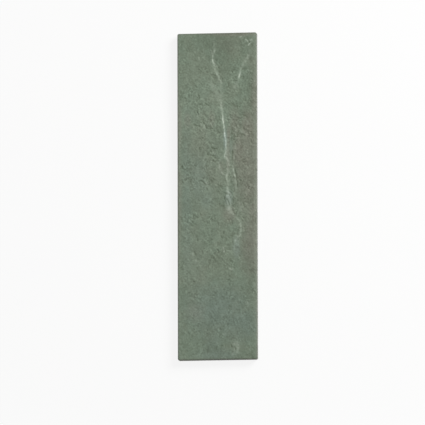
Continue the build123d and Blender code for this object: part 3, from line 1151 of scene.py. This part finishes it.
def glaze_colour(n, broad, mottle, speck):
    """The mottled sage glaze, with its warm, cool, dark and worn places, painted shading and
    highlights on its small relief, painted shade in its hollows and along two edges, and a painted
    highlight along its right rim.
    """
    colour = n.mix(n.ramp(broad, *BROAD_TO_TAUPE), SAGE, TAUPE)
    for name, ranges, tint in (("warm", BROAD_TO_WARM, WARM), ("cool", BROAD_TO_COOL, COOL)):
        colour = n.mix(n.times(n.attribute(name), n.ramp(broad, *ranges)), colour, tint)
    light = n.times(n.ramp(mottle, *MOTTLE_TO_LIGHT), n.ramp(speck, *SPECK_TO_LIGHT))
    # Painted shading and highlights that follow the small relief
    light = n.times(light, n.ramp(n.attribute("shade"), *SHADE_TO_LIGHT))
    # The broad patches: uneven colour, painted broad shading and painted shade along two edges
    light = n.times(light, n.math("ADD", n.attribute("tone_and_painted_shading"), 1.0))
    blue = n.times(light, n.ramp(light, *LIGHT_TO_BLUE))
    tone_and_painted_shading = n.node("ShaderNodeCombineColor", Red=light, Green=light, Blue=blue)
    colour = n.mix(1.0, colour, tone_and_painted_shading.outputs["Color"], "MULTIPLY")
    colour = n.mix(n.times(n.attribute("arris"), ARRIS_STRENGTH), colour, ARRIS)
    # Painted shade in the pits and cracks
    colour = n.mix(n.times(n.attribute("hollow"), HOLLOW_STRENGTH), colour, DEEP)
    # Worn glaze and pale patches, with the painted highlight along the right rim
    worn = n.math("ADD", n.attribute("pale"), n.attribute("light"))
    worn = n.times(worn, n.ramp(speck, *SPECK_TO_WEAR))
    worn = n.math("ADD", worn, n.times(n.attribute("inner_rim"), INNER_RIM_STRENGTH))
    worn = n.math("MINIMUM", n.times(worn, WEAR_STRENGTH), WEAR_LIMIT)
    return n.mix(worn, colour, n.mix(n.attribute("cool"), PALE, PALE_COOL))


def body_colour(n, place, mottle, dust):
    """The bare fired body, with the thin kiln wash on its ribs."""
    colour = n.mix(n.ramp(mottle, *MOTTLE_TO_BODY), BODY, BODY_PALE)
    colour = n.mix(n.ramp(dust, *DUST_TO_BODY), colour, DEEP)
    height = n.node("ShaderNodeSeparateXYZ", Vector=place).outputs["Z"]
    on_ribs = n.ramp(height, WASH_RISE * MM, 2 * WASH_RISE * MM, 1.0, 0.0)
    return n.mix(n.times(on_ribs, n.ramp(mottle, *MOTTLE_TO_WASH)), colour, RIB_WASH)


def make_finish():
    """The tile's one finish: a matt mottled glaze on the face, the fired body on sides and back."""
    material = bpy.data.materials.new("matte_ceramic")
    n = Nodes(material)
    place = n.node("ShaderNodeTexCoord").outputs["Object"]
    broad, mottle = n.noise(place, *BROAD), n.noise(place, *MOTTLE)
    speck, dust = n.noise(place, *SPECK), n.noise(place, *DUST)

    edge = n.math("ADD", n.attribute("glazed"), n.ramp(mottle, *MOTTLE_TO_GLAZE))
    glazed = n.ramp(edge, *EDGE_TO_GLAZE)
    body = body_colour(n, place, mottle, dust)
    colour = n.mix(glazed, body, glaze_colour(n, broad, mottle, speck))

    bare = n.math("SUBTRACT", 1.0, glazed)
    roughness = n.math("ADD", n.ramp(speck, *SPECK_TO_ROUGHNESS), n.times(bare, BODY_ROUGHER))
    relief = n.math("ADD", speck, n.times(dust, DUST_BUMP))
    bump = n.node("ShaderNodeBump", Strength=BUMP_STRENGTH, Distance=BUMP_DEPTH * MM, Height=relief)
    shader = n.node(
        "ShaderNodeBsdfPrincipled",
        Normal=bump.outputs["Normal"],
        Base_Color=colour,
        Roughness=roughness,
        IOR=GLAZE_IOR,
        Specular_IOR_Level=GLAZE_SPECULAR,
    )
    n.end("ShaderNodeOutputMaterial", shader.outputs["BSDF"])
    return material


def add_object(name, data):
    """A new object in the scene."""
    made = bpy.data.objects.new(name, data)
    bpy.context.scene.collection.objects.link(made)
    return made


def make_floor_material():
    """Plain and pale, with the tile's shadow, and clear when it is seen from below."""
    material = bpy.data.materials.new("floor")
    n = Nodes(material)
    diffuse = n.node("ShaderNodeBsdfDiffuse", Color=FLOOR_COLOUR).outputs[0]
    white = n.node("ShaderNodeEmission", Color=WHITE, Strength=1.0).outputs[0]
    lifted = n.mix_shaders(n.times(n.seen(), FLOOR_WHITE_SHARE), diffuse, white)
    clear = n.node("ShaderNodeBsdfTransparent").outputs[0]
    from_below = n.node("ShaderNodeNewGeometry").outputs["Backfacing"]
    n.end("ShaderNodeOutputMaterial", n.mix_shaders(from_below, lifted, clear))
    return material


def make_floor():
    """A plain floor with an opening under the tile, so that light reaches the bed from below."""
    hole_x = (TILE_WIDTH / 2 - FLANK_INSET - FLOOR_LAP) * MM
    hole_y = (TILE_LENGTH / 2 - FLANK_INSET - FLOOR_LAP) * MM
    corners = [(-1, -1), (1, -1), (1, 1), (-1, 1)]
    outer = [(x * FLOOR_REACH, y * FLOOR_REACH, 0.0) for x, y in corners]
    inner = [(x * hole_x, y * hole_y, 0.0) for x, y in corners]
    sides = [[side, (side + 1) % 4, 4 + (side + 1) % 4, 4 + side] for side in range(4)]
    mesh = bpy.data.meshes.new("floor")
    mesh.from_pydata(outer + inner, [], sides)
    mesh.materials.append(make_floor_material())
    floor = add_object("floor", mesh)


def make_world():
    """Even soft light from all round, which shows white to the camera."""
    world = bpy.data.worlds.new("studio")
    bpy.context.scene.world = world
    n = Nodes(world)
    soft = n.node("ShaderNodeBackground", Color=WHITE, Strength=SOFT_STRENGTH).outputs[0]
    white = n.node("ShaderNodeBackground", Color=WHITE, Strength=1.0).outputs[0]
    n.end("ShaderNodeOutputWorld", n.mix_shaders(n.seen(), soft, white))


def add_area_light(name, place, power):
    """A square soft light that faces the tile."""
    light = bpy.data.lights.new(name, "AREA")
    light.shape = "SQUARE"
    light.size = LAMP_SIZE
    light.energy = power
    lamp = add_object(name, light)
    lamp.location = place
    lamp.rotation_euler = (-Vector(place)).to_track_quat("-Z", "Y").to_euler()


def make_camera():
    """A long lens far off, leaning as the photograph's view does."""
    lean = (
        Matrix.Rotation(radians(VIEW_ROLL), 3, "Z")
        @ Matrix.Rotation(radians(VIEW_LEAN_Y), 3, "Y")
        @ Matrix.Rotation(radians(VIEW_LEAN_X), 3, "X")
    )
    middle = PICTURE_PIXELS / 2
    across = (middle - ORIGIN_PIXEL[0]) / PIXELS_PER_MM
    along = (ORIGIN_PIXEL[1] - middle) / PIXELS_PER_MM
    seen_from = Vector((across, along, VIEW_DISTANCE))
    data = bpy.data.cameras.new("camera")
    data.sensor_width = SENSOR_WIDTH
    data.lens = SENSOR_WIDTH * VIEW_DISTANCE * PIXELS_PER_MM / PICTURE_PIXELS
    data.clip_end = CLIP_END
    camera = add_object("camera", data)
    camera.matrix_world = lean.transposed().to_4x4()
    camera.location = lean.transposed() @ seen_from * MM
    bpy.context.scene.camera = camera


def make_tile():
    """The dressed tile, which stands for the plain solid."""
    tile = add_object("riven_tile", make_tile_mesh(make_relief()))
    tile.data.materials.append(make_finish())
    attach(tile, "root")
    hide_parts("tile")


bpy.context.scene.view_settings.view_transform = "Standard"
make_camera()
make_tile()
make_floor()
make_world()
add_area_light("key", KEY_PLACE, KEY_POWER)
add_area_light("under", UNDER_PLACE, UNDER_POWER)
